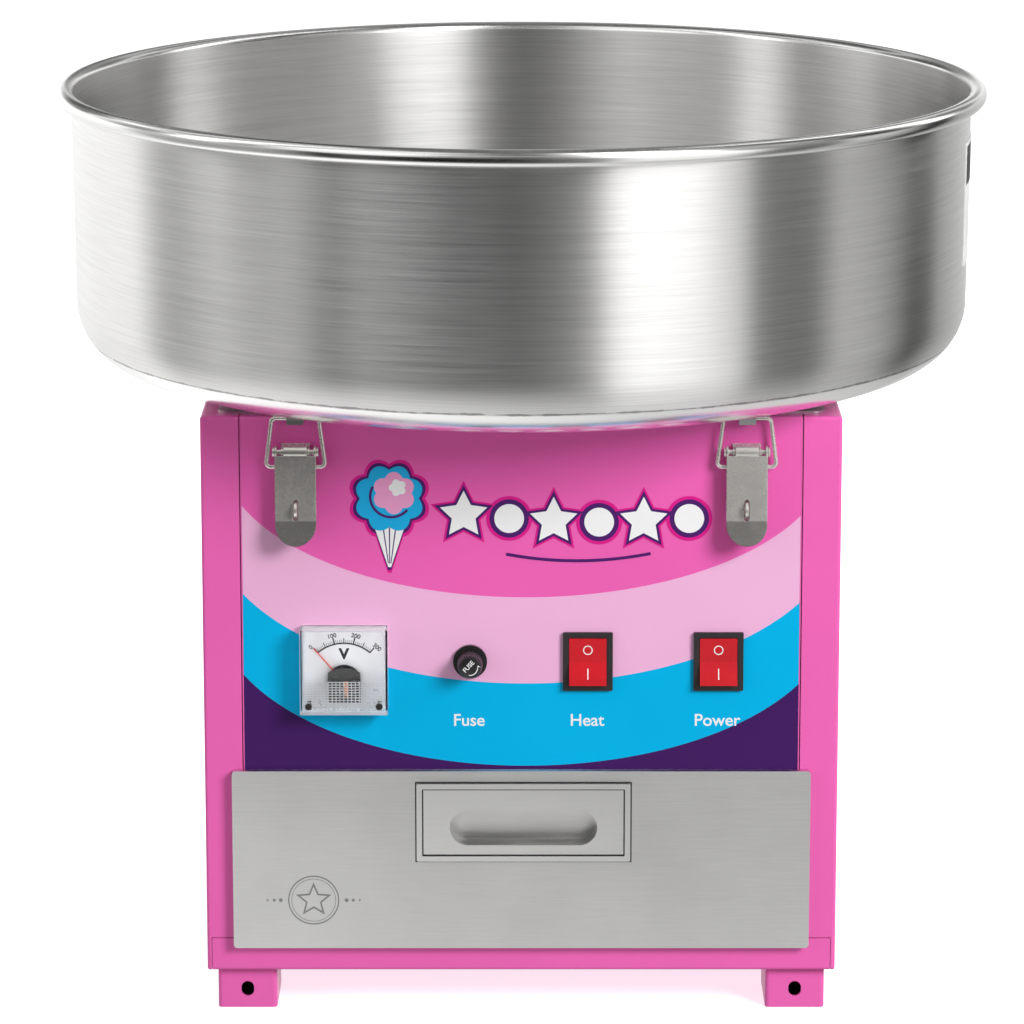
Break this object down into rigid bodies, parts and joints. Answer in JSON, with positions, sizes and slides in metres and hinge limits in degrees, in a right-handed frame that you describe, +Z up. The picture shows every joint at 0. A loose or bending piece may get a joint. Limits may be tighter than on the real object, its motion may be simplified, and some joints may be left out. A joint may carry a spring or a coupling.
{
  "type": "cotton candy machine",
  "caption": "Counter-top cotton candy machine: wide spun steel bowl latched onto a painted square cabinet with a control panel, drawer and motor-driven heated head.",
  "frame": {"origin": "on the floor, below the bowl's axis, midway between the feet", "axes": "+Z up along the bowl's axis, the control panel faces -Y, +X is to the right of someone facing it"},
  "size_m": [0.52, 0.5199, 0.497],
  "materials": {
    "pink_paint": "semi-gloss powder coat",
    "control_film": "printed film in four colour bands",
    "bowl_steel": "spun and brushed round the axis",
    "plate_steel": "satin",
    "drawer_steel": "brushed across the front",
    "pull_steel": "satin",
    "zinc_steel": "bright zinc plate",
    "latch_nickel": "bright nickel plate",
    "screw_steel": "bright zinc plate",
    "black_plastic": "fine satin",
    "gloss_black": "gloss",
    "red_plastic": "translucent gloss",
    "clear_cover": "clear moulded plastic",
    "dial_card": "printed dial",
    "meter_plastic": "satin",
    "needle_red": "painted",
    "fuse_glass": "glass tube with metal ends",
    "label_white": "blank label",
    "pad_rubber": "matt",
    "cast_grey": "cast and painted grey",
    "head_aluminium": "turned",
    "mesh_steel": "pierced sheet",
    "rotor_copper": "laminations and copper winding",
    "shaft_steel": "ground",
    "phenolic": "brown phenolic",
    "ring_brass": "turned",
    "carbon": "graphite",
    "heater_alloy": "oxidised heating ribbon between ceramic rings"
  },
  "bodies": {
    "cabinet": {"side_panel_left": "pink_paint", "side_panel_right": "pink_paint", "front_panel": "pink_paint", "panel_overlay": "control_film", "top_panel": "pink_paint", "back_panel": "pink_paint", "base_tray": "pink_paint", "front_feet": "pink_paint", "rear_feet": "pink_paint", "foot_pads": "pad_rubber", "drawer_deck": "zinc_steel", "drawer_rails": "zinc_steel", "meter_cover": "clear_cover", "meter_dial": "dial_card", "meter_body": "meter_plastic", "meter_movement": "gloss_black", "meter_screws": "screw_steel", "fuse_holder": "black_plastic", "fuse_link": "fuse_glass", "heat_switch_frame": "gloss_black", "power_switch_frame": "gloss_black", "latch_bases": "latch_nickel", "latch_pins": "latch_nickel", "latch_rivets": "latch_nickel", "bowl": "bowl_steel", "bowl_base_plate": "plate_steel", "bowl_label": "label_white", "motor_housing": "cast_grey", "motor_bracket": "zinc_steel", "motor_grommets": "pad_rubber", "motor_bearings": "shaft_steel", "brush_holder": "phenolic", "carbon_brushes": "carbon", "cable_gland": "black_plastic", "cabinet_screws": "screw_steel"},
    "drawer": {"drawer_front": "drawer_steel", "drawer_box": "zinc_steel", "drawer_pull": "pull_steel"},
    "spinner": {"motor_shaft": "shaft_steel", "motor_rotor": "rotor_copper", "motor_fan": "black_plastic", "slip_ring_sleeve": "phenolic", "slip_rings": "ring_brass", "head_base": "head_aluminium", "heater_ring": "heater_alloy", "head_mesh": "mesh_steel", "head_cover": "head_aluminium", "head_screws": "screw_steel"},
    "needle": {"meter_needle": "needle_red"},
    "fuse_cap": {"fuse_cap": "black_plastic"},
    "heat_rocker": {"heat_rocker": "red_plastic"},
    "power_rocker": {"power_rocker": "red_plastic"},
    "lever_fl": {"latch_lever_fl": "latch_nickel"},
    "bail_fl": {"latch_bail_fl": "latch_nickel"},
    "lever_fr": {"latch_lever_fr": "latch_nickel"},
    "bail_fr": {"latch_bail_fr": "latch_nickel"},
    "lever_bl": {"latch_lever_bl": "latch_nickel"},
    "bail_bl": {"latch_bail_bl": "latch_nickel"},
    "lever_br": {"latch_lever_br": "latch_nickel"},
    "bail_br": {"latch_bail_br": "latch_nickel"}
  },
  "joints": [
    {"name": "drawer_slide", "type": "slide", "parent": "cabinet", "child": "drawer", "axis": [0, -1, 0], "range_m": [0, 0.185]},
    {"name": "head_spin", "type": "hinge", "parent": "cabinet", "child": "spinner", "pos_m": [0, 0, 0.3], "axis": [0, 0, 1], "continuous": true},
    {"name": "needle_swing", "type": "hinge", "parent": "cabinet", "child": "needle", "pos_m": [-0.0959, -0.151, 0.1893], "axis": [0, 1, 0], "range_deg": [0, 82], "stiffness_Nm_per_rad": 0.0001},
    {"name": "fuse_cap_turn", "type": "hinge", "parent": "cabinet", "child": "fuse_cap", "pos_m": [-0.0277, -0.155, 0.1995], "axis": [0, -1, 0], "range_deg": [0, 45]},
    {"name": "heat_rocker_tip", "type": "hinge", "parent": "cabinet", "child": "heat_rocker", "pos_m": [0.0361, -0.1473, 0.1995], "axis": [1, 0, 0], "range_deg": [0, 18]},
    {"name": "power_rocker_tip", "type": "hinge", "parent": "cabinet", "child": "power_rocker", "pos_m": [0.1069, -0.1473, 0.1995], "axis": [1, 0, 0], "range_deg": [0, 18]},
    {"name": "latch_lever_fl_lift", "type": "hinge", "parent": "cabinet", "child": "lever_fl", "pos_m": [-0.121, -0.1515, 0.317], "axis": [-1, 0, 0], "range_deg": [0, 95]},
    {"name": "latch_bail_fl_swing", "type": "hinge", "parent": "lever_fl", "child": "bail_fl", "pos_m": [-0.121, -0.15, 0.3085], "axis": [-1, 0, 0], "range_deg": [-72, 0]},
    {"name": "latch_lever_fr_lift", "type": "hinge", "parent": "cabinet", "child": "lever_fr", "pos_m": [0.121, -0.1515, 0.317], "axis": [-1, 0, 0], "range_deg": [0, 95]},
    {"name": "latch_bail_fr_swing", "type": "hinge", "parent": "lever_fr", "child": "bail_fr", "pos_m": [0.121, -0.15, 0.3085], "axis": [-1, 0, 0], "range_deg": [-72, 0]},
    {"name": "latch_lever_bl_lift", "type": "hinge", "parent": "cabinet", "child": "lever_bl", "pos_m": [-0.121, 0.1515, 0.317], "axis": [1, 0, 0], "range_deg": [0, 95]},
    {"name": "latch_bail_bl_swing", "type": "hinge", "parent": "lever_bl", "child": "bail_bl", "pos_m": [-0.121, 0.15, 0.3085], "axis": [1, 0, 0], "range_deg": [-72, 0]},
    {"name": "latch_lever_br_lift", "type": "hinge", "parent": "cabinet", "child": "lever_br", "pos_m": [0.121, 0.1515, 0.317], "axis": [1, 0, 0], "range_deg": [0, 95]},
    {"name": "latch_bail_br_swing", "type": "hinge", "parent": "lever_br", "child": "bail_br", "pos_m": [0.121, 0.15, 0.3085], "axis": [1, 0, 0], "range_deg": [-72, 0]}
  ],
  "couplings": [
    {"joint": "latch_bail_fl_swing", "follows": "latch_lever_fl_lift", "ratio": -0.75},
    {"joint": "latch_bail_fr_swing", "follows": "latch_lever_fr_lift", "ratio": -0.75},
    {"joint": "latch_bail_bl_swing", "follows": "latch_lever_bl_lift", "ratio": -0.75},
    {"joint": "latch_bail_br_swing", "follows": "latch_lever_br_lift", "ratio": -0.75}
  ]
}
